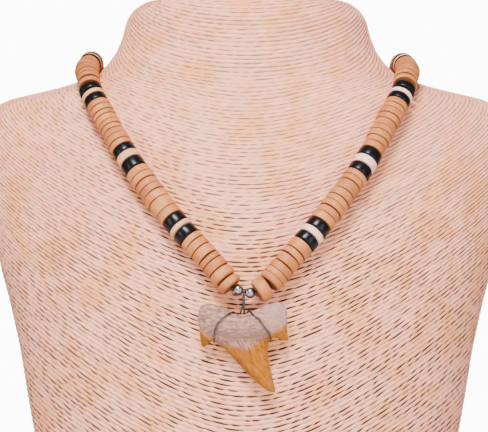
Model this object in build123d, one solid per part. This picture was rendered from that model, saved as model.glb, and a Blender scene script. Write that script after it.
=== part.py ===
from build123d import *
import math
import os

# Necklace of drilled disc beads with a fossil tooth in a wire wrap, on a neck bust.
# Millimetres, +Z up, front towards -Y, origin at the middle of the bust's base.

# Driving dimensions of the bust
bust_height = 254.0
bust_width = 229.0
chest_depth = 91.0
back_depth = 60.0
neck_edge_radius = 10.0

# Driving dimensions of the bead string
bead_diameter = 10.0
bead_thickness = 3.7
bead_edge = 0.9
bead_bore = 2.0
bead_gap = 0.15
thread_diameter = 0.9
ball_diameter = 4.4
ball_bore = 1.5
ball_spacing = 5.0
clasp_diameter = 6.0
clasp_length = 14.0

# Driving dimensions of the pendant
tooth_width = 36.0
tooth_length = 35.6
root_thickness = 9.2
wire_diameter = 0.6
hang = 4.3
stem_diameter = 1.05
stem_length = 5.4
leg_drop = 2.6

# Clearances
rest_gap = 0.3
loop_gap = 0.2
wrap_gap = 0.12
chest_gap = 1.3
route_lift = 0.45
wrap_lift = 0.14

# Bust sections from the base up, as shares of bust_height, bust_width, chest_depth and back_depth
# height, width, front, back
bust_rows = [
    (0.000, 0.686, 0.813, 0.833),
    (0.079, 0.722, 0.874, 0.875),
    (0.157, 0.757, 0.923, 0.908),
    (0.260, 0.797, 0.967, 0.950),
    (0.331, 0.824, 0.989, 0.967),
    (0.406, 0.850, 1.000, 0.983),
    (0.484, 0.890, 0.976, 0.995),
    (0.535, 0.922, 0.945, 1.000),
    (0.591, 0.950, 0.892, 1.000),
    (0.650, 0.975, 0.824, 1.000),
    (0.701, 0.993, 0.753, 1.000),
    (0.748, 1.000, 0.681, 1.000),
    (0.783, 0.997, 0.621, 0.983),
    (0.807, 0.982, 0.582, 0.967),
    (0.821, 0.954, 0.558, 0.950),
    (0.831, 0.904, 0.548, 0.933),
    (0.838, 0.838, 0.541, 0.923),
    (0.845, 0.769, 0.532, 0.910),
    (0.852, 0.707, 0.523, 0.897),
    (0.859, 0.659, 0.514, 0.880),
    (0.865, 0.608, 0.505, 0.867),
    (0.8765, 0.564, 0.499, 0.853),
    (0.894, 0.528, 0.493, 0.838),
    (0.913, 0.498, 0.485, 0.820),
    (0.937, 0.476, 0.477, 0.808),
    (1.000, 0.441, 0.462, 0.800),
]

# Where the string lies, from the tooth round to the clasp
# way, first, second: front takes shares of half bust_width and of bust_height, top takes shares of
# half bust_width and of back_depth, round takes degrees from the right side and a share of bust_height
left_route = [
    ("front", -0.0428, 0.5146),
    ("front", -0.1415, 0.5677),
    ("front", -0.2393, 0.6134),
    ("front", -0.3389, 0.6697),
    ("front", -0.4297, 0.7268),
    ("front", -0.5135, 0.7902),
    ("front", -0.5668, 0.8319),
    ("front", -0.5765, 0.8465),
    ("front", -0.5834, 0.8591),
    ("top", -0.5980, -0.4500),
    ("top", -0.5950, -0.2333),
    ("top", -0.5930, 0.0000),
    ("top", -0.5950, 0.2500),
    ("top", -0.6020, 0.4667),
    ("top", -0.5900, 0.6500),
    ("round", 143.0, 0.8535),
    ("round", 136.0, 0.8440),
    ("round", 124.0, 0.8400),
    ("round", 110.0, 0.8380),
    ("round", 97.5, 0.8370),
]
right_route = [
    ("front", 0.0253, 0.5079),
    ("front", 0.0699, 0.5197),
    ("front", 0.1450, 0.5583),
    ("front", 0.2332, 0.6024),
    ("front", 0.3275, 0.6555),
    ("front", 0.4297, 0.7169),
    ("front", 0.5188, 0.7902),
    ("front", 0.5721, 0.8335),
    ("front", 0.5810, 0.8465),
    ("front", 0.5878, 0.8591),
    ("top", 0.6060, -0.4500),
    ("top", 0.6000, -0.2333),
    ("top", 0.5960, 0.0000),
    ("top", 0.5970, 0.2500),
    ("top", 0.6040, 0.4667),
    ("top", 0.5900, 0.6500),
    ("round", 37.0, 0.8535),
    ("round", 44.0, 0.8440),
    ("round", 56.0, 0.8400),
    ("round", 70.0, 0.8380),
    ("round", 82.5, 0.8370),
]

# Beads from the tooth outwards, as shares of bead_thickness: wood, then the black, pale and black after it
left_groups = [
    ((0.96, 1.23, 1.04, 0.66, 1.12, 0.95, 0.76), (1.15, 0.58, 1.15)),
    ((0.98, 1.44, 0.96, 0.83, 0.85, 0.83, 0.96), (1.35, 0.89, 0.97)),
    ((0.70, 0.81, 0.81, 0.60, 0.60, 0.81, 0.56, 0.81, 0.81), (0.97, 0.52, 0.79)),
    ((0.69, 0.82, 0.79, 0.76, 0.82, 0.74, 0.77, 0.76, 0.79, 0.74), (1.00, 0.70, 1.00)),
]
right_groups = [
    ((1.18, 0.75, 0.73, 0.88, 1.07, 0.78, 1.26), (1.07, 0.75, 1.10)),
    ((0.94, 0.82, 0.79, 0.74, 0.94, 1.31, 0.68, 0.72), (1.17, 0.98, 1.14)),
    ((0.90, 0.74, 0.84, 0.68, 0.91, 0.77, 0.80, 0.66, 0.80), (0.91, 0.52, 0.91)),
    ((0.68, 0.80, 0.71, 0.76, 0.71, 0.77, 0.70, 0.76, 0.71), (1.00, 0.70, 1.00)),
]

# Root sections from left to right, as shares of tooth_width, tooth_length and root_thickness
# across, top, bottom, thickness
root_rows = [
    (-0.499, 0.138, 0.222, 0.13),
    (-0.489, 0.087, 0.261, 0.33),
    (-0.458, 0.028, 0.340, 0.57),
    (-0.356, 0.011, 0.407, 0.83),
    (-0.242, 0.045, 0.452, 0.96),
    (-0.108, 0.115, 0.478, 1.00),
    (-0.017, 0.129, 0.489, 0.98),
    (0.064, 0.104, 0.478, 1.00),
    (0.161, 0.062, 0.452, 0.98),
    (0.269, 0.017, 0.413, 0.89),
    (0.358, 0.000, 0.379, 0.78),
    (0.442, 0.008, 0.334, 0.57),
    (0.481, 0.076, 0.272, 0.33),
    (0.490, 0.132, 0.228, 0.13),
]

# Blade sections from the root down, as shares of tooth_length, tooth_width twice and root_thickness
# down, left edge, right edge, thickness
crown_rows = [
    (0.301, -0.347, 0.319, 0.80),
    (0.430, -0.322, 0.286, 0.74),
    (0.534, -0.186, 0.276, 0.67),
    (0.624, -0.106, 0.283, 0.61),
    (0.733, -0.007, 0.306, 0.52),
    (0.823, 0.072, 0.324, 0.43),
    (0.913, 0.171, 0.344, 0.33),
    (0.969, 0.256, 0.358, 0.21),
    (0.996, 0.303, 0.356, 0.10),
]
left_cusp_rows = [
    (0.272, -0.481, -0.322, 0.54),
    (0.371, -0.476, -0.331, 0.41),
    (0.430, -0.467, -0.347, 0.28),
    (0.469, -0.458, -0.397, 0.15),
    (0.489, -0.447, -0.428, 0.08),
]
right_cusp_rows = [
    (0.244, 0.331, 0.478, 0.54),
    (0.343, 0.328, 0.489, 0.39),
    (0.388, 0.364, 0.497, 0.24),
    (0.410, 0.425, 0.503, 0.14),
    (0.424, 0.481, 0.503, 0.08),
]

# Turns of the wire round the root, as shares of tooth_width, tooth_length and root_thickness
# way, across, down, behind: front and back touch the faces, top and below touch the edges
wrap_rows = [
    ("top", -0.105, 0.000, 0.00),
    ("top", -0.125, 0.000, -0.20),
    ("front", -0.165, 0.122, 0.00),
    ("front", -0.225, 0.158, 0.00),
    ("front", -0.283, 0.228, 0.00),
    ("front", -0.316, 0.303, 0.00),
    ("front", -0.325, 0.370, 0.00),
    ("below", -0.324, 0.520, -0.20),
    ("below", -0.322, 0.520, 0.00),
    ("below", -0.318, 0.520, 0.20),
    ("back", -0.300, 0.350, 0.00),
    ("back", -0.200, 0.270, 0.00),
    ("back", -0.090, 0.205, 0.00),
    ("back", 0.030, 0.160, 0.00),
    ("top", 0.050, 0.000, 0.20),
    ("top", 0.062, 0.000, 0.00),
    ("top", 0.078, 0.000, -0.20),
    ("front", 0.108, 0.125, 0.00),
    ("front", 0.172, 0.170, 0.00),
    ("front", 0.219, 0.244, 0.00),
    ("front", 0.268, 0.310, 0.00),
    ("front", 0.292, 0.345, 0.00),
    ("below", 0.306, 0.490, -0.20),
    ("below", 0.308, 0.490, 0.00),
    ("below", 0.304, 0.490, 0.20),
    ("back", 0.275, 0.330, 0.00),
    ("back", 0.180, 0.262, 0.00),
    ("back", 0.075, 0.205, 0.00),
    ("back", -0.060, 0.160, 0.00),
    ("top", -0.088, 0.000, 0.20),
]
half_way = wrap_rows.index(("top", 0.062, 0.000, 0.00))


# Bust
def bust_section(row):
    height, width, front, back = row
    ahead = front * chest_depth
    behind = back * back_depth
    centre = (behind - ahead) / 2
    oval = Ellipse(width * bust_width / 2, (ahead + behind) / 2)
    return Pos(0, centre, height * bust_height) * oval


bust = loft([bust_section(row) for row in bust_rows], ruled=True)
top_edge = bust.faces().sort_by(Axis.Z)[-1].edges()
bust = fillet(top_edge, neck_edge_radius)


# A point moves along a way until it is a clearance off the body
def rest_on(body, start, way, clear):
    travel = 0.0
    for _ in range(40):
        step = body.distance_to(Vertex(*(start + way * travel))) - clear
        travel += step
        if step < 0.004:
            break
    return start + way * travel


string_clear = bead_diameter / 2 + rest_gap + route_lift


def route_point(row):
    way, first, second = row
    half_width = bust_width / 2
    if way == "front":
        start = Vector(first * half_width, -1.5 * chest_depth, second * bust_height)
        return rest_on(bust, start, Vector(0, 1, 0), string_clear)
    if way == "top":
        start = Vector(first * half_width, second * back_depth, bust_height + bead_diameter)
        return rest_on(bust, start, Vector(0, 0, -1), string_clear)
    turn = math.radians(first)
    outward = Vector(math.cos(turn), math.sin(turn), 0)
    start = outward * bust_width + Vector(0, 0, second * bust_height)
    return rest_on(bust, start, outward * -1, string_clear)


left_points = [route_point(row) for row in left_route]
right_points = [route_point(row) for row in right_route]
hinge = (left_points[0] + right_points[0]) * 0.5
hinge_axis = (right_points[0] - left_points[0]).normalized()

clasp_y = (left_points[-1].Y + right_points[-1].Y) / 2
clasp_z = (left_points[-1].Z + right_points[-1].Z) / 2
clasp_end = clasp_length / 2
left_points.append(Vector(-clasp_end, clasp_y, clasp_z))
right_points.append(Vector(clasp_end, clasp_y, clasp_z))


# Corner arcs as large as the two runs allow
def corner_radii(points):
    radii = []
    for before, corner, after in zip(points, points[1:], points[2:]):
        run_in = corner - before
        run_out = after - corner
        turn = math.radians(run_in.get_angle(run_out))
        radii.append(0.45 * min(run_in.length, run_out.length) / math.tan(turn / 2))
    return radii


string_points = list(reversed(left_points)) + right_points
string_route = FilletPolyline(*string_points, radius=corner_radii(string_points))


def tube(route, diameter):
    start = Plane(origin=route @ 0, z_dir=route % 0)
    return sweep(start * Circle(diameter / 2), path=route)


thread = tube(string_route, thread_diameter)

# Length along the route at the tooth, from which both strings are counted
steps = 6000
samples = [string_route.position_at(i / steps) for i in range(steps + 1)]
middle_step = min(range(steps + 1), key=lambda i: (samples[i] - hinge).length)
middle_length = string_route.length * middle_step / steps


def route_frame(length):
    share = min(max(length / string_route.length, 0), 1)
    return string_route.position_at(share), string_route.tangent_at(share)


# Beads, each a rounded disc with a drilled hole
shapes = {}


def disc_bead(thickness, edge):
    key = (round(thickness, 3), edge)
    if key not in shapes:
        disc = Cylinder(bead_diameter / 2, thickness)
        disc = fillet(disc.edges(), edge)
        shapes[key] = disc - Cylinder(bead_bore / 2, thickness + 1)
    return shapes[key]


# The groups follow one another again behind the neck
def pattern(groups):
    row = []
    for woods, accent in groups * 2:
        row += [("w", share) for share in woods] + list(zip("bpb", accent))
    return row


def string_beads(groups, side):
    beads = {"w": [], "b": [], "p": []}
    reach = ball_spacing / 2 + ball_diameter / 2
    limit = middle_length if side < 0 else string_route.length - middle_length
    _, last_way = route_frame(middle_length + side * reach)
    for count, (kind, share) in enumerate(pattern(groups)):
        half = share * bead_thickness / 2
        at = reach + bead_gap + half
        for _ in range(6):
            centre, way = route_frame(middle_length + side * at)
            turn = math.radians(way.get_angle(last_way))
            lean = (bead_diameter / 2 - 0.2 if count else ball_diameter / 4) * turn
            at = reach + bead_gap + half + lean
        if at + half + bead_gap > limit:
            break
        centre, way = route_frame(middle_length + side * at)
        edge = min(1.7, half * 0.85) if count == 0 else min(bead_edge, half * 0.6)
        place = Plane(origin=centre, z_dir=way).location
        beads[kind].append(disc_bead(2 * half, edge).moved(place))
        reach = at + half
        last_way = way
    return beads


left_beads = string_beads(left_groups, -1)
right_beads = string_beads(right_groups, 1)


# Balls either side of the wire loop
def steel_ball(side):
    centre, way = route_frame(middle_length + side * ball_spacing / 2)
    place = Plane(origin=centre, z_dir=way).location
    ball = Sphere(ball_diameter / 2) - Cylinder(ball_bore / 2, ball_diameter + 1)
    return ball.moved(place)


# Barrel clasp at the back, its ends against the ends of the thread
clasp = Cylinder(clasp_diameter / 2, clasp_length)
clasp = fillet(clasp.edges(), clasp_diameter / 4)
clasp = clasp.moved(Plane(origin=(0, clasp_y, clasp_z), z_dir=(1, 0, 0)).location)


# Tooth, in its own frame with the hinge at the origin
tooth_middle = -0.3


def oval_section(row):
    across, top, bottom, thick = row
    high = (bottom - top) * tooth_length / 2
    centre = -hang - (bottom + top) / 2 * tooth_length
    face = Ellipse(thick * root_thickness / 2, high)
    return Plane(origin=(tooth_middle + across * tooth_width, 0, centre), x_dir=(0, 1, 0), z_dir=(1, 0, 0)) * face


def blade_section(row):
    down, left, right, thick = row
    depth = -hang - down * tooth_length
    start = Vector(tooth_middle + left * tooth_width, 0, depth)
    stop = Vector(tooth_middle + right * tooth_width, 0, depth)
    bulge = Vector(0, thick * root_thickness / 2, 0)
    middle = (start + stop) * 0.5
    front = ThreePointArc(start, middle - bulge, stop)
    back = ThreePointArc(stop, middle + bulge, start)
    return make_face([front, back])


root = loft([oval_section(row) for row in root_rows])
tooth = root
for rows in (crown_rows, left_cusp_rows, right_cusp_rows):
    tooth = tooth + loft([blade_section(row) for row in rows])

# The tooth hangs a wire's room off the chest
tooth_place = Vector(hinge.X, hinge.Y - 2 * root_thickness, hinge.Z)
for _ in range(20):
    room = tooth.moved(Location(tooth_place)).distance_to(bust) - chest_gap
    tooth_place = tooth_place + Vector(0, room, 0)
    if room < 0.004:
        break
tooth = tooth.moved(Location(tooth_place))

# Wire wrap: a loop round the thread, a twisted stem and a figure of eight round the root
wire_clear = wire_diameter / 2 + wrap_gap


def wrap_point(row):
    way, across, down, behind = row
    y = tooth_place.Y + behind * root_thickness
    x = tooth_place.X + tooth_middle + across * tooth_width
    z = tooth_place.Z - hang - down * tooth_length
    clear = wire_clear + wrap_lift
    if way == "front":
        return rest_on(tooth, Vector(x, tooth_place.Y - 2 * root_thickness, z), Vector(0, 1, 0), clear)
    if way == "back":
        return rest_on(tooth, Vector(x, tooth_place.Y + 2 * root_thickness, z), Vector(0, -1, 0), clear)
    if way == "top":
        return rest_on(tooth, Vector(x, y, z + root_thickness), Vector(0, 0, -1), clear)
    return rest_on(tooth, Vector(x, y, z), Vector(0, 0, 1), clear)


wrap_points = [wrap_point(row) for row in wrap_rows]


def soft_tube(points, diameter):
    radii = []
    for before, corner, after in zip(points, points[1:], points[2:]):
        run_in = corner - before
        run_out = after - corner
        turn = math.radians(run_in.get_angle(run_out))
        radii.append(0.42 * min(run_in.length, run_out.length) / math.tan(turn / 2))
    return tube(FilletPolyline(*points, radius=radii), diameter)


# The loop's lowest point, where the two ends of the wire twist together
loop_radius = thread_diameter / 2 + loop_gap + wire_diameter / 2
down_way = Vector(0, 0, -1) - hinge_axis * Vector(0, 0, -1).dot(hinge_axis)
loop_foot = hinge + down_way.normalized() * loop_radius
stem_top = loop_foot + Vector(0, 0, -0.6)
stem_foot = Vector(hinge.X, hinge.Y, hinge.Z - stem_length)
loop = revolve(Plane.XZ * Pos(loop_radius, 0) * Circle(wire_diameter / 2), Axis.Z)
loop = loop.moved(Plane(origin=hinge, z_dir=hinge_axis).location)
stem = soft_tube([stem_top, (stem_top + stem_foot) * 0.5 + Vector(0, -0.05, 0), stem_foot], stem_diameter)
link_points = [loop_foot, (loop_foot + stem_top) * 0.5 + Vector(0.01, 0, 0), stem_top + Vector(0, 0, -0.4)]
link = soft_tube(link_points, wire_diameter * 0.8)
legs = []
for across, end in ((-0.032, wrap_points[-2]), (0.010, wrap_points[half_way - 2])):
    x = tooth_place.X + tooth_middle + across * tooth_width
    over = Vector(x, stem_foot.Y + 0.1, stem_foot.Z - leg_drop)
    behind = wrap_point(("back", across, 0.165, 0))
    legs.append(soft_tube([stem_foot + Vector(0, 0, 0.3), over, behind, end], wire_diameter))
wire_wrap = stem + link + legs[0] + legs[1]
first_half = wrap_points[:half_way + 1]
second_half = wrap_points[half_way:] + wrap_points[:1]
for half in (first_half, second_half):
    wire_wrap = wire_wrap + soft_tube(half, wire_diameter)
    wire_wrap = wire_wrap + Sphere(wire_diameter * 0.52).moved(Location(half[0]))
wire_wrap = wire_wrap + loop

os.makedirs("parts", exist_ok=True)
nodes = {
    "neck_bust": bust,
    "thread": thread,
    "steel_ball_left": steel_ball(-1),
    "steel_ball_right": steel_ball(1),
    "barrel_clasp": clasp,
    "shark_tooth": tooth,
    "wire_wrap": wire_wrap,
}
for side, beads in (("left", left_beads), ("right", right_beads)):
    nodes["wood_beads_" + side] = Compound(children=beads["w"])
    nodes["black_beads_" + side] = Compound(children=beads["b"])
    nodes["white_beads_" + side] = Compound(children=beads["p"])
for name, shape in nodes.items():
    shape.label = name
    export_step(shape, "parts/" + name + ".step")

print("hinge", hinge, "axis", hinge_axis)
print("string length", round(string_route.length, 1))
print("wire volume", wire_wrap.volume, "loop", loop.volume)
print("wire off tooth", wire_wrap.distance_to(tooth), "off bust", wire_wrap.distance_to(bust))
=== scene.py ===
import bpy
import bmesh
import math
import numpy
import random
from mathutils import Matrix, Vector, noise


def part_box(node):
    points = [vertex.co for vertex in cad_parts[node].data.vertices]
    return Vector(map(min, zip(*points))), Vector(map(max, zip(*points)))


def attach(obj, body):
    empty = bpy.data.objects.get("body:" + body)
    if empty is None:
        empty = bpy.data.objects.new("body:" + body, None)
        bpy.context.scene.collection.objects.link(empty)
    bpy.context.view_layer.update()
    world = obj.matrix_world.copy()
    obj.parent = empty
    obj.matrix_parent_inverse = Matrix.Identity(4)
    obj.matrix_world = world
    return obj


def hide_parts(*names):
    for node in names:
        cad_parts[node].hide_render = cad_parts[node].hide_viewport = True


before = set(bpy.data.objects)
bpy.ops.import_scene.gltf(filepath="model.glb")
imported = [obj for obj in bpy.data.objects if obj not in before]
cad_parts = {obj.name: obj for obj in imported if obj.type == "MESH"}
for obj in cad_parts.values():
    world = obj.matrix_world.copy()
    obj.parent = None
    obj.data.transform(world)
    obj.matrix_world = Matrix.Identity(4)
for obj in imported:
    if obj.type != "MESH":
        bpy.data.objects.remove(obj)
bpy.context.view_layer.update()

# Vertices of one surface that lie this close are one vertex, and edges sharper than the crease stay sharp
mergeWithin = {"cad": 0.000002, "turned": 0.000001, "bust": 0.00002}
crease = math.radians(50)


# One method makes every node, and one class lets socket values be written as sums
class Sock:
    def __init__(self, tree, socket):
        self.tree = tree
        self.socket = socket

    def math(self, operation, *values):
        return self.tree.math(operation, *values)

    def __add__(self, other):
        return self.math("ADD", self, other)

    def __sub__(self, other):
        return self.math("SUBTRACT", self, other)

    def __mul__(self, other):
        return self.math("MULTIPLY", self, other)

    def __truediv__(self, other):
        return self.math("DIVIDE", self, other)

    def __rsub__(self, other):
        return self.math("SUBTRACT", other, self)

    def __pow__(self, other):
        return self.math("POWER", self, other)

    def __neg__(self):
        return self.math("MULTIPLY", self, -1.0)

    __radd__ = __add__
    __rmul__ = __mul__


class Finish:
    def __init__(self, name):
        self.material = bpy.data.materials.new(name)
        self.material.use_nodes = True
        self.nodes = self.material.node_tree.nodes
        self.links = self.material.node_tree.links
        self.shader = self.nodes["Principled BSDF"]

    def node(self, kind, settings, *values, out=0):
        made = self.nodes.new(kind)
        for key, value in settings.items():
            if key == "stops":
                ramp = made.color_ramp
                while len(ramp.elements) < len(value):
                    ramp.elements.new(0.5)
                for element, (place, shade) in zip(ramp.elements, value):
                    element.position = place
                    element.color = (*shade, 1) if isinstance(shade, tuple) else (shade, shade, shade, 1)
            else:
                setattr(made, key, value)
        for index, value in enumerate(values):
            self.put(made.inputs[index], value)
        return Sock(self, made.outputs[out])

    def put(self, socket, value):
        if isinstance(value, Sock):
            self.links.new(value.socket, socket)
        elif value is not None:
            socket.default_value = value

    def math(self, operation, *values):
        return self.node("ShaderNodeMath", {"operation": operation}, *values)

    def place(self):
        return self.node("ShaderNodeTexCoord", {}, out=3)

    def uv(self):
        return self.node("ShaderNodeTexCoord", {}, out=2)

    def split(self, vector):
        parts = self.node("ShaderNodeSeparateXYZ", {}, vector)
        made = parts.socket.node
        return [Sock(self, made.outputs[i]) for i in range(3)]

    def join(self, x, y, z):
        return self.node("ShaderNodeCombineXYZ", {}, x, y, z)

    def stretch(self, vector, scale, turn=(0, 0, 0)):
        return self.node("ShaderNodeMapping", {}, vector, (0, 0, 0), turn, scale)

    def noise(self, vector, scale, detail=3, rough=0.5):
        return self.node("ShaderNodeTexNoise", {}, vector, None, scale, detail, rough)

    def ramp(self, value, stops):
        return self.node("ShaderNodeValToRGB", {"stops": stops}, value)

    def smooth(self, value, low, high):
        settings = {"interpolation_type": "SMOOTHSTEP"}
        return self.node("ShaderNodeMapRange", settings, value, low, high, 0.0, 1.0)

    def mix(self, share, first, second):
        made = self.nodes.new("ShaderNodeMix")
        made.data_type = "RGBA"
        for socket, value in ((made.inputs[0], share), (made.inputs[6], first), (made.inputs[7], second)):
            self.put(socket, (*value, 1) if isinstance(value, tuple) else value)
        return Sock(self, made.outputs[2])

    def bump(self, height, strength, distance):
        made = self.nodes.new("ShaderNodeBump")
        self.put(made.inputs["Strength"], strength)
        self.put(made.inputs["Distance"], distance)
        self.put(made.inputs["Height"], height)
        return Sock(self, made.outputs[0])

    def coat(self, **sockets):
        for name, value in sockets.items():
            words = name.replace("_", " ")
            self.put(self.shader.inputs[words], (*value, 1) if isinstance(value, tuple) else value)
        return self.material


# Base colour whose light in the picture is this much red, green and blue
def lit(red, green, blue):
    return tuple(value / studio["level"] for value in (red, green, blue))


# Camera square to the chest. The picture is "pixels" wide, and "scale" of them cover a metre a metre away
cameraView = {
    "height": 0.160, "away": 1.0, "pixels": 488, "scale": 2280, "aside": -2.5, "sensor": 36, "near": 0.05,
}
camera = bpy.data.cameras.new("camera")
camera.lens = cameraView["scale"] / cameraView["pixels"] * cameraView["sensor"]
camera.sensor_width = cameraView["sensor"]
camera.shift_x = cameraView["aside"] / cameraView["pixels"]
camera.clip_start = cameraView["near"]
cameraObject = bpy.data.objects.new("camera", camera)
cameraObject.location = (0, -cameraView["away"], cameraView["height"])
cameraObject.rotation_euler = (math.pi / 2, 0, 0)
bpy.context.scene.collection.objects.link(cameraObject)
bpy.context.scene.camera = cameraObject

# Pale sweep behind and under the bust
studio = {"wide": 1.2, "level": 3.3, "air": 0.22, "white": 12.0}
bpy.ops.object.select_all(action="DESELECT")
bpy.ops.mesh.primitive_plane_add(size=studio["wide"], location=(0, 0, 0))
floor = bpy.context.object
floor.name = "floor"
paper = Finish("paperSweep")
floor.data.materials.append(paper.coat(Base_Color=(0.85, 0.85, 0.86), Roughness=0.8))


# Every light faces the middle of the chest
lights = {
    "keyLight": {"place": (-0.15, -0.95, 1.30), "size": (0.5, 0.35), "power": 69},
    "frontLight": {"place": (0.20, -1.7, 0.30), "size": (0.4, 0.4), "power": 16},
    "fillLight": {"place": (1.1, -1.1, 0.4), "size": (0.5, 0.7), "power": 10},
    "leftLight": {"place": (-1.3, -0.9, 0.4), "size": (0.5, 0.7), "power": 10},
}
lightAim = Vector((0, 0, 0.16))


def softLight(name, place, size, power):
    light = bpy.data.lights.new(name, "AREA")
    light.shape = "RECTANGLE"
    light.size, light.size_y = size
    light.energy = power
    lamp = bpy.data.objects.new(name, light)
    lamp.location = place
    lamp.rotation_euler = (lightAim - Vector(place)).to_track_quat("-Z", "Y").to_euler()
    bpy.context.scene.collection.objects.link(lamp)


for name, light in lights.items():
    softLight(name, **light)

# The camera sees white air, and the part is lit by a dimmer one
world = bpy.data.worlds.new("studioAir")
bpy.context.scene.world = world
world.use_nodes = True
air = world.node_tree
backdrop = air.nodes["Background"]
rays = air.nodes.new("ShaderNodeLightPath")
brightness = air.nodes.new("ShaderNodeMath")
brightness.operation = "MULTIPLY_ADD"
brightness.inputs[1].default_value = studio["white"] - studio["air"]
brightness.inputs[2].default_value = studio["air"]
air.links.new(rays.outputs["Is Camera Ray"], brightness.inputs[0])
air.links.new(brightness.outputs[0], backdrop.inputs[1])
backdrop.inputs[0].default_value = (1, 1, 1, 1)
print("camera and light are set")


# Bust wound with cord: a grid of four rows a turn is wrapped round the bust
# In metres: how far the turns are apart and how that grows, the relief, one twist of the cord, the first turn
boundCord = {
    "pitch": 0.00175, "widening": 0.0000017, "turns": 184, "deep": 0.00042, "columns": 132, "rowsPerTurn": 4,
    "lay": 0.0056, "first": -0.060, "waver": 0.00022, "probe": 0.001, "flat": 0.0005, "hem": 0.0015,
    "depthShare": 0.66, "level": 0.7,
}
# In millimetres
bustCut = {
    "tall": 254, "edge": 10.0, "edgeSteps": 8, "topShares": (0.002, 0.25, 0.5, 0.75),
    "fineAbove": 200, "fineStep": 1.0, "step": 3.0,
}
# Height, half width, front and back in millimetres
bustRows = [
    (0, 78.5, 74, 50), (20, 82.7, 79.5, 52.5), (40, 86.7, 84, 54.5), (66, 91.2, 88, 57), (84, 94.3, 90, 58),
    (103, 97.3, 91, 59), (123, 101.9, 88.8, 59.7), (136, 105.6, 86, 60), (150, 108.8, 81.2, 60),
    (165, 111.6, 75, 60), (178, 113.7, 68.5, 60), (190, 114.5, 62, 60), (199, 114.2, 56.5, 59),
    (205, 112.4, 53, 58), (208.6, 109.2, 50.8, 57), (211, 103.5, 49.9, 56), (212.8, 96, 49.2, 55.4),
    (214.6, 88, 48.4, 54.6), (216.3, 81, 47.6, 53.8), (218.2, 75.5, 46.8, 52.8), (219.7, 69.6, 46, 52),
    (222.6, 64.6, 45.4, 51.2), (227, 60.4, 44.9, 50.3), (232, 57, 44.1, 49.2), (238, 54.5, 43.4, 48.5),
    (254, 50.5, 42, 48),
]


def bustSection(height):
    height = min(max(height, 0), bustCut["tall"])
    for low, high in zip(bustRows, bustRows[1:]):
        if height <= high[0]:
            share = (height - low[0]) / (high[0] - low[0])
            return [low[i] + share * (high[i] - low[i]) for i in (1, 2, 3)]
    return list(bustRows[-1][1:])


# Rings across the bust from the middle of its top, over the rounded edge and down to the base
def bustRings():
    rings = []
    edge = bustCut["edge"]
    tall = bustCut["tall"]
    top = bustSection(tall)
    for share in bustCut["topShares"]:
        rings.append([(size - edge) * share for size in top] + [tall])
    for step in range(bustCut["edgeSteps"] + 1):
        turn = step / bustCut["edgeSteps"] * math.pi / 2
        inset = edge * (1 - math.sin(turn))
        height = tall - edge * (1 - math.cos(turn))
        rings.append([size - inset for size in bustSection(height)] + [height])
    startRing = len(rings) - 1
    height = tall - edge
    while height > 0:
        height = max(height - bustCut["fineStep" if height > bustCut["fineAbove"] else "step"], 0)
        rings.append(bustSection(height) + [height])
    return rings, startRing


def ringPoint(ring, turn):
    half, ahead, behind, height = ring
    y = (behind - ahead) / 2 + (ahead + behind) / 2 * math.sin(turn)
    return Vector((half * math.cos(turn), y, height)) / 1000


def profileAt(rings, startRing, turn):
    points = [ringPoint(ring, turn) for ring in rings]
    lengths = [0.0]
    for low, high in zip(points, points[1:]):
        lengths.append(lengths[-1] + (high - low).length)
    zero = lengths[startRing]
    return points, [length - zero for length in lengths]


def alongProfile(points, lengths, want):
    want = min(max(want, lengths[0]), lengths[-1])
    low, high = 0, len(lengths) - 1
    while high - low > 1:
        middle = (low + high) // 2
        if lengths[middle] <= want:
            low = middle
        else:
            high = middle
    share = (want - lengths[low]) / max(lengths[high] - lengths[low], 1e-9)
    return points[low].lerp(points[high], share)


def eased(value, stops):
    for (x0, y0), (x1, y1) in zip(stops, stops[1:]):
        if value <= x1:
            share = min(max((value - x0) / (x1 - x0), 0), 1)
            return y0 + (y1 - y0) * share
    return stops[-1][1]


# How much higher each turn of cord lies at the sides than in front, against its place in front
cordRise = [(-0.058, 0.0), (-0.005, 0.024), (0.030, 0.030), (0.080, 0.036), (0.160, 0.036), (0.275, -0.010)]


def cordPlace(front, turn):
    fall = -math.sin(turn)
    share = (fall + math.sqrt(fall * fall + 0.09)) / 2.045
    return front - eased(front, cordRise) * (1 - share)


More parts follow.
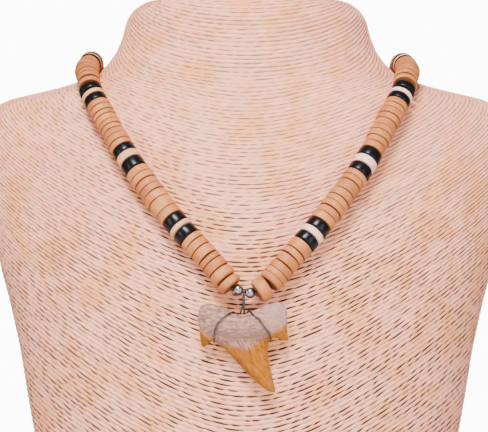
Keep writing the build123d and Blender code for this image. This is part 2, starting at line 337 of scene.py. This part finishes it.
def boundBust():
    rings, startRing = bustRings()
    columns = boundCord["columns"]
    perTurn = boundCord["rowsPerTurn"]
    probe = boundCord["probe"]
    rows = boundCord["turns"] * perTurn
    bpy.ops.object.select_all(action="DESELECT")
    bpy.ops.mesh.primitive_grid_add(x_subdivisions=columns, y_subdivisions=rows, size=1, location=(0, 0, 0))
    bust = bpy.context.object
    bust.name = "woundBust"
    profiles = [profileAt(rings, startRing, math.pi / 2 + math.tau * i / columns) for i in range(columns)]
    swell = [(0.5 - 0.5 * math.cos(math.tau * i / perTurn)) ** 0.6 for i in range(perTurn)]
    spots = {}
    keys = []
    for vertex in bust.data.vertices:
        lane = round((vertex.co.x + 0.5) * columns)
        column = lane % columns
        row = round((vertex.co.y + 0.5) * rows)
        keys.append((lane, row))
        key = (column, row)
        if key not in spots:
            turn = math.pi / 2 + math.tau * column / columns
            number = row / perTurn
            spot = Vector((2.6 * math.cos(turn), 2.6 * math.sin(turn), number * 0.9))
            wave = boundCord["waver"] * noise.noise(spot)
            widened = boundCord["widening"] * number * number / 2
            front = boundCord["first"] + number * boundCord["pitch"] + widened + wave
            points, lengths = profiles[column]
            place = cordPlace(front, turn)
            here = alongProfile(points, lengths, place)
            above = alongProfile(points, lengths, place - probe)
            below = alongProfile(points, lengths, place + probe)
            down = below - above
            around = Vector((-math.sin(turn), math.cos(turn) * boundCord["depthShare"], 0))
            out = down.cross(around)
            if down.length > boundCord["flat"] and place < lengths[-1] - boundCord["hem"]:
                out.normalize()
                lift = boundCord["deep"] * (swell[row % perTurn] - boundCord["level"])
                here = here + out * lift
            spots[key] = here
        vertex.co = spots[key]
    run = {}
    for row in range(rows + 1):
        run[0, row] = 0.0
        for lane in range(1, columns + 1):
            step = spots[lane % columns, row] - spots[lane - 1, row]
            run[lane, row] = run[lane - 1, row] + step.length
    sheet = bust.data.uv_layers[0].data
    for loop in bust.data.loops:
        sheet[loop.index].uv = (run[keys[loop.vertex_index]], keys[loop.vertex_index][1] / rows)
    bpy.ops.object.mode_set(mode="EDIT")
    bpy.ops.mesh.select_all(action="SELECT")
    bpy.ops.mesh.remove_doubles(threshold=mergeWithin["bust"])
    bpy.ops.mesh.select_all(action="DESELECT")
    bpy.ops.mesh.select_non_manifold()
    bpy.ops.mesh.edge_face_add()
    bpy.ops.mesh.select_all(action="SELECT")
    bpy.ops.mesh.normals_make_consistent(inside=False)
    bpy.ops.object.mode_set(mode="OBJECT")
    bpy.ops.object.shade_smooth()
    return bust


# Two-ply paper cord: painted shade in the faint gaps between the turns, and a dark painted shadow dash where
# two plies cross a gap
def cordFinish():
    cord = Finish("woundCord")
    run, along, _ = cord.split(cord.uv())
    side, _, tall = cord.split(cord.place())
    number = along * boundCord["turns"]
    nearest = cord.math("FLOOR", number + 0.5)
    offset = number - nearest
    start = cord.node("ShaderNodeTexWhiteNoise", {"noise_dimensions": "1D"}, None, nearest)
    drift = cord.noise(cord.join(run * 70, nearest * 5.3, 0.0), 1.0, 1, 0.5)
    lays = run * (1 / boundCord["lay"]) + start * 9 + drift * 2.5
    cell = cord.math("FLOOR", lays)
    away = lays - cell - 0.5
    chance = cord.node("ShaderNodeTexWhiteNoise", {"noise_dimensions": "2D"}, cord.join(nearest, cell, 0.0))
    lean = cord.math("MAXIMUM", cord.math("MINIMUM", side * 30, 1.0), -1.0) * -0.30
    # Lower on the chest the painted shadow dashes grow thicker and darker, standing in for light grazing from
    # above
    low = cord.smooth(tall, 0.215, 0.125)
    reach = away / (chance * 0.42 + 0.26)
    thick = (1.0 - reach * reach) * (low * 0.07 + 0.18)
    # Painted shadow: a near-black dash where two plies leave an opening in a gap; its mask also sinks the bump
    shadowDash = cord.smooth(thick - cord.math("ABSOLUTE", offset - away * lean), 0.0, 0.09)
    strength = (cord.smooth(chance, 0.0, 0.65) * 0.78 + 0.22) * (low * 0.40 + 0.60)
    # Painted shade: the faint gaps between the turns are darkened in the colour
    gapShade = cord.smooth(cord.math("ABSOLUTE", offset), 0.22, 0.02)
    plyTone = cord.node("ShaderNodeTexWhiteNoise", {"noise_dimensions": "2D"},
                        cord.join(cord.math("FLOOR", number), cord.math("FLOOR", lays + offset), 0.0))
    patch = cord.noise(cord.place(), 60, 4, 0.6)
    blush = cord.noise(cord.place(), 11, 2, 0.5)
    fibre = cord.noise(cord.join(run * 420, number * 7, 0.0), 1.0, 3, 0.6)
    pale = cord.mix(plyTone * 0.6, lit(2.65, 1.15, 0.76), lit(2.05, 0.86, 0.52))
    pale = cord.mix(cord.smooth(patch, 0.42, 0.64) * 0.75, pale, lit(2.20, 0.82, 0.28))
    pale = cord.mix(cord.smooth(blush, 0.48, 0.65) * 0.5, pale, lit(2.45, 1.02, 0.76))
    pale = cord.mix(cord.smooth(fibre, 0.50, 0.75) * 0.35, pale, lit(1.25, 0.50, 0.26))
    shaded = cord.mix(gapShade * 0.20, pale, lit(0.95, 0.38, 0.20))
    colour = cord.mix(shadowDash * strength, shaded, lit(0.13, 0.048, 0.022))
    hollow = cord.math("ABSOLUTE", offset) * -2 + 1
    height = (hollow ** 4.0) * -0.35 - shadowDash * strength * 0.9 + fibre * 0.3 + plyTone * 0.15
    normal = cord.bump(height, 0.7, 0.0004)
    cord.shader.inputs["Specular IOR Level"].default_value = 0.25
    return cord.coat(Base_Color=colour, Roughness=0.75, Normal=normal)


bust = boundBust()
bust.data.materials.append(cordFinish())
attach(bust, "display")
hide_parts("neck_bust")
print("bust is wound, faces", len(bust.data.polygons))


# The joint's axis runs along the thread between the balls, through this point
swingPin = Vector((-0.00100188, -0.0931399, 0.129857))
swingAxis = Vector((0.97564, -0.052773, -0.212934))


# Middle, axis and size across and along of every loose solid in a CAD node
def looseParts(node):
    mesh = bmesh.new()
    mesh.from_mesh(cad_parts[node].data)
    bmesh.ops.remove_doubles(mesh, verts=mesh.verts, dist=mergeWithin["cad"])
    mesh.verts.ensure_lookup_table()
    met = set()
    parts = []
    for start in mesh.verts:
        if start.index in met:
            continue
        met.add(start.index)
        group = [start]
        for vertex in group:
            for edge in vertex.link_edges:
                other = edge.other_vert(vertex)
                if other.index not in met:
                    met.add(other.index)
                    group.append(other)
        points = numpy.array([vertex.co[:] for vertex in group])
        middle = points.mean(axis=0)
        ways = numpy.linalg.eigh(numpy.cov((points - middle).T))[1]
        spread = (points - middle) @ ways
        middle = middle + ways @ ((spread.max(axis=0) + spread.min(axis=0)) / 2)
        sizes = spread.max(axis=0) - spread.min(axis=0)
        parts.append((Vector(middle), [Vector(ways[:, i]) for i in range(3)], list(sizes)))
    mesh.free()
    return parts


# A turned piece: a ring of edges extruded from point to point of a profile round Z
def turned(name, profile, sides):
    bpy.ops.object.select_all(action="DESELECT")
    radius, height = profile[0]
    bpy.ops.mesh.primitive_circle_add(vertices=sides, radius=radius, location=(0, 0, 0))
    made = bpy.context.object
    made.name = name
    bpy.ops.object.mode_set(mode="EDIT")
    bpy.ops.mesh.select_all(action="SELECT")
    bpy.ops.transform.translate(value=(0, 0, height))
    for nextRadius, nextHeight in profile[1:]:
        grow = nextRadius / radius
        bpy.ops.mesh.extrude_region_move()
        bpy.ops.transform.resize(value=(grow, grow, 1))
        bpy.ops.transform.translate(value=(0, 0, nextHeight - height))
        radius, height = nextRadius, nextHeight
    bpy.ops.mesh.select_all(action="SELECT")
    bpy.ops.mesh.remove_doubles(threshold=mergeWithin["turned"])
    bpy.ops.mesh.normals_make_consistent(inside=False)
    bpy.ops.object.mode_set(mode="OBJECT")
    return made


def bevelRims(made, least, width, segments):
    mesh = made.data
    for item in list(mesh.vertices) + list(mesh.edges) + list(mesh.polygons):
        item.select = False
    for edge in mesh.edges:
        ends = [mesh.vertices[index].co for index in edge.vertices]
        level = abs(ends[0].z - ends[1].z) < 0.00001
        edge.select = level and min(endShade.xy.length for endShade in ends) > least and abs(
            ends[0].xy.length - ends[1].xy.length) < 0.00001
    bpy.context.tool_settings.mesh_select_mode = (False, True, False)
    bpy.ops.object.mode_set(mode="EDIT")
    bpy.ops.mesh.bevel(offset=width, segments=segments, affect="EDGES")
    bpy.ops.object.mode_set(mode="OBJECT")
    bpy.context.tool_settings.mesh_select_mode = (True, False, False)
    bpy.ops.object.shade_smooth_by_angle(angle=crease)


# Beads: one of each kind is modelled, and a copy goes on every bead of the string
beadCut = {
    "across": 0.010, "along": 0.0037, "bore": 0.0020, "sides": 28, "closer": 0.00012, "scatter": 90,
    "endRounding": 0.0015, "endNear": 0.012, "endLonger": {"left": 0.0, "right": 0.0006},
}
beadKinds = {
    "wood": {"rounding": 0.00050, "segments": 4, "along": 0.00010, "across": 0.00030, "lean": 0.018},
    "black": {"rounding": 0.00075, "segments": 4, "along": 0.00004, "across": 0.00006, "lean": 0.006},
    "white": {"rounding": 0.00035, "segments": 2, "along": 0.00010, "across": 0.00012, "lean": 0.008},
}
beadUp = Vector((0.0, 0.3, 1.0))


def beadModel(kind, rounding):
    half = beadCut["along"] / 2
    bore = beadCut["bore"] / 2
    rim = beadCut["across"] / 2
    profile = [(bore, -half), (rim, -half), (rim, half), (bore, half), (bore, -half)]
    model = turned(kind + "BeadModel", profile, beadCut["sides"])
    bevelRims(model, rim * 0.9, rounding, beadKinds[kind]["segments"])
    return model


def stringBeads(node, kind, name, seed):
    rule = beadKinds[kind]
    chance = random.Random(seed)
    models = [beadModel(kind, rule["rounding"])]
    if kind == "wood":
        models.append(beadModel(kind, beadCut["endRounding"]))
    copies = []
    for middle, ways, sizes in looseParts(node):
        last = (middle - swingPin).length < beadCut["endNear"]
        model = models[-1 if last else 0]
        axis = ways[0].normalized()
        side = axis.cross(beadUp).normalized()
        ahead = axis.cross(side)
        spin = chance.uniform(0, math.tau)
        tilt = side * chance.gauss(0, rule["lean"]) + ahead * chance.gauss(0, rule["lean"])
        axis = (axis + tilt).normalized()
        side = (side - axis * side.dot(axis)).normalized()
        ahead = axis.cross(side)
        longer = sizes[0] - beadCut["along"] + beadCut["closer"] - abs(chance.gauss(0, rule["along"]))
        wider = sizes[1] - beadCut["across"] + chance.gauss(0, rule["across"])
        if last:
            stretch = beadCut["endLonger"][node.rpartition("_")[2]]
            longer = longer + stretch
            outward = axis if axis.dot(middle - swingPin) > 0 else -axis
            middle = middle + outward * stretch / 2
        shift = Vector([chance.uniform(-beadCut["scatter"], beadCut["scatter"]) for _ in range(3)])
        copy = model.copy()
        copy.data = model.data.copy()
        bpy.context.scene.collection.objects.link(copy)
        places = []
        ends = []
        for vertex in copy.data.vertices:
            x, y, z = vertex.co
            ends.append(abs(z) / (beadCut["along"] / 2))
            radius = math.hypot(x, y)
            if radius > beadCut["bore"] * 0.7:
                x, y = x * (radius + wider / 2) / radius, y * (radius + wider / 2) / radius
            z = z + (longer if z > 0 else -longer) / 2
            places.extend(Vector((x, y, z)) * 1000 + shift)
            x, y = x * math.cos(spin) - y * math.sin(spin), x * math.sin(spin) + y * math.cos(spin)
            vertex.co = middle + side * x + ahead * y + axis * z
        tone = chance.random()
        marks = copy.data.attributes.new("beadTone", "FLOAT", "POINT")
        marks.data.foreach_set("value", [tone] * len(copy.data.vertices))
        marks = copy.data.attributes.new("beadEnd", "FLOAT", "POINT")
        marks.data.foreach_set("value", ends)
        marks = copy.data.attributes.new("beadPlace", "FLOAT_VECTOR", "POINT")
        marks.data.foreach_set("vector", places)
        copies.append(copy)
    for model in models:
        bpy.data.objects.remove(model)
    bpy.ops.object.select_all(action="DESELECT")
    for copy in copies:
        copy.select_set(True)
    bpy.context.view_layer.objects.active = copies[0]
    bpy.ops.object.join()
    beads = bpy.context.object
    beads.name = name
    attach(beads, "display")
    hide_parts(node)
    return beads


def woodFinish():
    wood = Finish("turnedWood")
    place = wood.node("ShaderNodeAttribute", {"attribute_name": "beadPlace"}, out=1)
    tone = wood.node("ShaderNodeAttribute", {"attribute_name": "beadTone"}, out=2)
    endShade = wood.node("ShaderNodeAttribute", {"attribute_name": "beadEnd"}, out=2)
    grain = wood.noise(wood.stretch(place, (1.5, 1.5, 0.4)), 1.0, 4, 0.6)
    fine = wood.noise(wood.stretch(place, (6.0, 6.0, 0.7)), 1.0, 3, 0.6)
    patch = wood.noise(place, 0.16, 2, 0.5)
    shade = tone * 0.45 + wood.smooth(patch, 0.3, 0.7) * 0.55
    stops = [(0.0, lit(0.98, 0.28, 0.068)), (0.5, lit(1.30, 0.41, 0.11)), (1.0, lit(1.66, 0.60, 0.18))]
    colour = wood.ramp(shade, stops)
    colour = wood.mix(wood.smooth(grain, 0.42, 0.72) * 0.5, colour, lit(0.85, 0.25, 0.065))
    colour = wood.mix(wood.smooth(fine, 0.62, 0.8) * 0.35, colour, lit(0.6, 0.17, 0.05))
    # Painted shade: each bead darkens towards its flat ends, in the gaps where it meets its neighbours
    colour = wood.mix(wood.smooth(endShade, 0.86, 1.0) * 0.75, colour, lit(0.30, 0.085, 0.03))
    normal = wood.bump(grain * 0.4 + fine, 0.25, 0.00015)
    wood.shader.inputs["Specular IOR Level"].default_value = 0.2
    return wood.coat(Base_Color=colour, Roughness=0.42 + fine * 0.2, Normal=normal)


def blackFinish():
    black = Finish("blackGloss")
    place = black.node("ShaderNodeAttribute", {"attribute_name": "beadPlace"}, out=1)
    cloud = black.noise(place, 0.6, 3, 0.5)
    normal = black.bump(cloud, 0.2, 0.0001)
    black.shader.inputs["Specular IOR Level"].default_value = 0.13
    return black.coat(Base_Color=lit(0.010, 0.009, 0.011), Roughness=0.22 + cloud * 0.1, Normal=normal)


def paleFinish():
    pale = Finish("paleBead")
    place = pale.node("ShaderNodeAttribute", {"attribute_name": "beadPlace"}, out=1)
    side, _, _ = pale.split(pale.place())
    cloud = pale.noise(place, 0.7, 3, 0.5)
    tone = pale.smooth(side, -0.02, 0.02)
    pale.shader.inputs["Specular IOR Level"].default_value = 0.25
    colour = pale.mix(tone, lit(1.75, 0.84, 0.40), lit(2.6, 1.50, 1.20))
    colour = pale.mix(pale.smooth(cloud, 0.4, 0.7) * 0.4, colour, lit(1.35, 0.65, 0.34))
    normal = pale.bump(cloud, 0.2, 0.00015)
    return pale.coat(Base_Color=colour, Roughness=0.5 + cloud * 0.1, Normal=normal)


beadFinishes = {"wood": woodFinish(), "black": blackFinish(), "white": paleFinish()}
for number, (kind, hand) in enumerate((k, h) for k in beadKinds for h in ("left", "right")):
    beads = stringBeads(kind + "_beads_" + hand, kind, kind + "Beads" + hand.title(), 11 + number)
    beads.data.materials.clear()
    beads.data.materials.append(beadFinishes[kind])
    print(beads.name, len(beads.data.vertices))


# Polished steel: the two drilled balls and the clasp at the back
steelCut = {"across": 0.0044, "bore": 0.0015, "arc": 18, "sides": 36}


def steelFinish(name, tone, rough):
    steel = Finish(name)
    cloud = steel.noise(steel.place(), 900, 2, 0.5)
    return steel.coat(Base_Color=tone, Metallic=1.0, Roughness=rough + cloud * 0.08)


polished = steelFinish("polishedSteel", (0.26, 0.25, 0.27), 0.20)
arcStart = math.acos(-math.sqrt(1 - (steelCut["bore"] / steelCut["across"]) ** 2))
for node in ("steel_ball_left", "steel_ball_right"):
    ball = steelCut["across"] / 2
    profile = []
    for step in range(steelCut["arc"] + 1):
        turn = arcStart + (math.pi - 2 * arcStart) * step / steelCut["arc"]
        profile.append((ball * math.sin(turn), ball * math.cos(turn)))
    profile.append(profile[0])
    model = turned("steelBall" + node.split("_")[-1].title(), profile, steelCut["sides"])
    bpy.ops.object.shade_smooth_by_angle(angle=crease)
    lowest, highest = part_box(node)
    middle = (Vector(lowest) + Vector(highest)) / 2
    side = swingAxis.cross(Vector((0, 1, 0))).normalized()
    ahead = swingAxis.cross(side)
    for vertex in model.data.vertices:
        x, y, z = vertex.co
        vertex.co = middle + side * x + ahead * y + swingAxis * z
    model.data.materials.append(polished)
    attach(model, "display")
    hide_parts(node)

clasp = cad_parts["barrel_clasp"]
clasp.data.materials.clear()
clasp.data.materials.append(polished)

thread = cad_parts["thread"]
waxed = Finish("waxedThread")
wax = waxed.noise(waxed.place(), 1800, 2, 0.5)
thread.data.materials.clear()
thread.data.materials.append(waxed.coat(Base_Color=(0.012, 0.010, 0.009), Roughness=0.45 + wax * 0.2))
print("steel and thread are set")


# Tooth: the CAD tooth remeshed, softened and worn on its root
toothWear = {
    "voxel": 0.00022, "soften": 4, "smoothing": 60, "strength": 0.5, "facing": 0.5, "fade": 0.3,
    "lumps": 0.00040, "lumpScales": (0.42, 1.1), "pits": 0.00012, "pitScale": 3.1,
}
# In millimetres from the joint's pin: the root's lower edge, the blade's sides and the pale band's lowest place
toothLines = {"root": -18.3, "curve": 0.0145, "left": -11.8, "right": 10.5, "band": -22.6, "bandMiddle": 1.6}


def shapedTooth():
    tooth = bpy.data.objects.new("fossilTooth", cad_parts["shark_tooth"].data.copy())
    bpy.context.scene.collection.objects.link(tooth)
    bpy.ops.object.select_all(action="DESELECT")
    tooth.select_set(True)
    bpy.context.view_layer.objects.active = tooth
    bpy.ops.object.mode_set(mode="EDIT")
    bpy.ops.mesh.select_all(action="SELECT")
    bpy.ops.mesh.remove_doubles(threshold=mergeWithin["cad"])
    bpy.ops.mesh.normals_make_consistent(inside=False)
    bpy.ops.object.mode_set(mode="OBJECT")
    remesh = tooth.modifiers.new("remesh", "REMESH")
    remesh.mode = "VOXEL"
    remesh.voxel_size = toothWear["voxel"]
    soften = tooth.modifiers.new("soften", "SMOOTH")
    soften.factor = toothWear["strength"]
    soften.iterations = toothWear["soften"]
    bpy.ops.object.modifier_apply(modifier="remesh")
    bpy.ops.object.modifier_apply(modifier="soften")
    faces = tooth.vertex_groups.new(name="faces")
    for vertex in tooth.data.vertices:
        facing = (abs(vertex.normal.y) - toothWear["facing"]) / toothWear["fade"]
        faces.add([vertex.index], min(max(facing, 0), 1), "REPLACE")
    smoothing = tooth.modifiers.new("smoothing", "SMOOTH")
    smoothing.factor = toothWear["strength"]
    smoothing.iterations = toothWear["smoothing"]
    smoothing.vertex_group = "faces"
    bpy.ops.object.modifier_apply(modifier="smoothing")
    outward = [vertex.normal.copy() for vertex in tooth.data.vertices]
    for vertex, away in zip(tooth.data.vertices, outward):
        here = (vertex.co - swingPin) * 1000
        line = toothLines["root"] + toothLines["curve"] * (here.x + 1) ** 2
        root = min(max((here.z - line) / 2 + 0.5, 0), 1)
        coarse, fine = toothWear["lumpScales"]
        lumps = noise.noise(here * coarse) + 0.5 * noise.noise(here * fine)
        pits = max(noise.noise(here * toothWear["pitScale"]), 0)
        depth = root * (toothWear["lumps"] * (lumps - 0.4) * 0.6 - toothWear["pits"] * pits)
        vertex.co = vertex.co + away * depth
    bpy.ops.object.shade_smooth()
    return tooth


def toothFinish():
    tooth = Finish("fossilTooth")
    place = tooth.place()
    pinned = tooth.node("ShaderNodeVectorMath", {"operation": "SUBTRACT"}, place, tuple(swingPin))
    scaled = tooth.stretch(pinned, (1000, 1000, 1000))
    blur = tooth.noise(scaled, 0.5, 4, 0.6)
    x, _, z = tooth.split(scaled)
    z = z + (blur - 0.5) * 1.4
    rootLine = (x + 1) ** 2 * toothLines["curve"] + toothLines["root"]
    aside = x - toothLines["bandMiddle"]
    bandLine = tooth.math("MAXIMUM", aside * -0.22, aside * 0.7) + toothLines["band"]
    belowRoot = tooth.smooth(rootLine - z, -0.5, 0.5)
    crown = tooth.smooth(bandLine - z, -1.7, 1.7)
    leftDown = -14.4 - (x + 17.8) * 0.7 - z
    rightDown = -12.6 - (17 - x) * 0.6 - z
    leftCusp = tooth.smooth(toothLines["left"] - x, -0.2, 0.2) * tooth.smooth(leftDown, -0.3, 0.3)
    rightCusp = tooth.smooth(x - toothLines["right"], -0.2, 0.2) * tooth.smooth(rightDown, -0.3, 0.3)
    leftSide = leftDown * tooth.smooth(-x, 10.0, 11.0)
    rightSide = rightDown * tooth.smooth(x, 9.0, 10.0)
    cuspDown = tooth.math("MAXIMUM", leftSide, rightSide)
    cream = tooth.smooth(cuspDown, 2.4, 0.3)
    middle = tooth.smooth(x - toothLines["left"], -0.2, 0.2)
    middle = middle * tooth.smooth(toothLines["right"] - x, -0.2, 0.2)
    amber = tooth.math("MAXIMUM", crown * middle, tooth.math("MAXIMUM", leftCusp, rightCusp))
    band = belowRoot * middle
    mottle = tooth.noise(tooth.stretch(scaled, (1, 1, 2.2)), 0.45, 5, 0.65)
    grit = tooth.noise(scaled, 3.2, 4, 0.7)
    leaning = tooth.stretch(scaled, (1, 1, 1), (0, 0.541, 0))
    streak = tooth.noise(tooth.stretch(leaning, (2.2, 2.2, 0.16)), 1.0, 4, 0.6)
    stops = [(0.38, lit(0.48, 0.24, 0.18)), (0.5, lit(0.84, 0.42, 0.32)), (0.62, lit(1.34, 0.70, 0.54))]
    root = tooth.ramp(mottle, stops)
    lobe = tooth.smooth(x, 3.0, 12.0) * 0.6
    root = tooth.mix(lobe, root, lit(1.30, 0.70, 0.55))
    root = tooth.mix(tooth.smooth(grit, 0.48, 0.66) * 0.65, root, lit(0.34, 0.17, 0.12))
    low = tooth.smooth(-z, 13.0, 16.5) * middle * 0.6
    root = tooth.mix(low, root, lit(0.48, 0.24, 0.19))
    pale = tooth.ramp(streak, [(0.40, lit(0.46, 0.21, 0.15)), (0.60, lit(1.12, 0.56, 0.42))])
    line = tooth.smooth(tooth.math("ABSOLUTE", z - rootLine - 0.3), 0.35, 0.05) * middle * 0.6
    stops = [(0.34, lit(0.50, 0.14, 0.008)), (0.5, lit(0.80, 0.255, 0.014)), (0.66, lit(1.15, 0.41, 0.030))]
    glow = tooth.ramp(streak, stops)
    across = z + 21.2 + (x + 11.4) * 0.92
    glow = tooth.mix(tooth.smooth(across, 4.2, 0.8) * 0.6, glow, lit(0.42, 0.10, 0.0))
    rim = tooth.smooth(tooth.math("ABSOLUTE", across - 0.5), 0.5, 0.1)
    glow = tooth.mix(rim * 0.5, glow, lit(1.3, 0.6, 0.28))
    tip = tooth.smooth(-z, 33.0, 38.5)
    glow = tooth.mix(tip * 0.35, glow, lit(0.90, 0.28, 0.03))
    glow = tooth.mix(cream * (1 - middle) * 0.55, glow, lit(1.25, 0.50, 0.16))
    tooth.shader.inputs["Specular IOR Level"].default_value = 0.08
    colour = tooth.mix(band, root, pale)
    colour = tooth.mix(line, colour, lit(0.42, 0.17, 0.05))
    colour = tooth.mix(amber, colour, glow)
    rough = 0.62 - amber * 0.24 - band * 0.10
    height = grit * (1 - amber) * 0.8 + streak * 0.35
    normal = tooth.bump(height, 0.5, 0.0002)
    return tooth.coat(Base_Color=colour, Roughness=rough, Normal=normal)


tooth = shapedTooth()
tooth.data.materials.clear()
tooth.data.materials.append(toothFinish())
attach(tooth, "pendant")
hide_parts("shark_tooth")
print("tooth is shaped, faces", len(tooth.data.polygons))


# Wire: the CAD wrap, and the two twisted ends over its plain stem
wireCut = {
    "across": 0.00056, "apart": 0.00030, "top": 0.1285, "down": 0.0043, "turns": 1.0, "sides": 14, "steps": 40,
}
wireSteel = steelFinish("wireSteel", (0.07, 0.063, 0.062), 0.30)
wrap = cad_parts["wire_wrap"]
wrap.data.materials.clear()
wrap.data.materials.append(wireSteel)
strands = []
for number in range(2):
    bpy.ops.object.select_all(action="DESELECT")
    radius = wireCut["across"] / 2
    bpy.ops.mesh.primitive_circle_add(vertices=wireCut["sides"], radius=radius, location=(0, 0, 0))
    strand = bpy.context.object
    half = math.pi * number
    bpy.ops.object.mode_set(mode="EDIT")
    bpy.ops.mesh.select_all(action="SELECT")
    way = (wireCut["apart"] * math.cos(half), wireCut["apart"] * math.sin(half), 0)
    bpy.ops.transform.translate(value=way)
    bpy.ops.object.mode_set(mode="OBJECT")
    screw = strand.modifiers.new("screw", "SCREW")
    screw.axis = "Z"
    screw.angle = math.tau * wireCut["turns"]
    screw.screw_offset = -wireCut["down"]
    screw.steps = wireCut["steps"]
    screw.render_steps = wireCut["steps"]
    bpy.ops.object.modifier_apply(modifier="screw")
    bpy.ops.object.mode_set(mode="EDIT")
    bpy.ops.mesh.select_all(action="DESELECT")
    bpy.ops.mesh.select_non_manifold()
    bpy.ops.mesh.fill_holes(sides=20)
    bpy.ops.mesh.select_all(action="SELECT")
    bpy.ops.transform.translate(value=(swingPin.x, swingPin.y, wireCut["top"]))
    bpy.ops.mesh.normals_make_consistent(inside=False)
    bpy.ops.object.mode_set(mode="OBJECT")
    strands.append(strand)
bpy.ops.object.select_all(action="DESELECT")
for strand in strands:
    strand.select_set(True)
bpy.context.view_layer.objects.active = strands[0]
bpy.ops.object.join()
twist = bpy.context.object
twist.name = "stemTwist"
bpy.ops.object.shade_smooth_by_angle(angle=crease)
twist.data.materials.append(wireSteel)
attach(twist, "pendant")
print("wire is twisted")
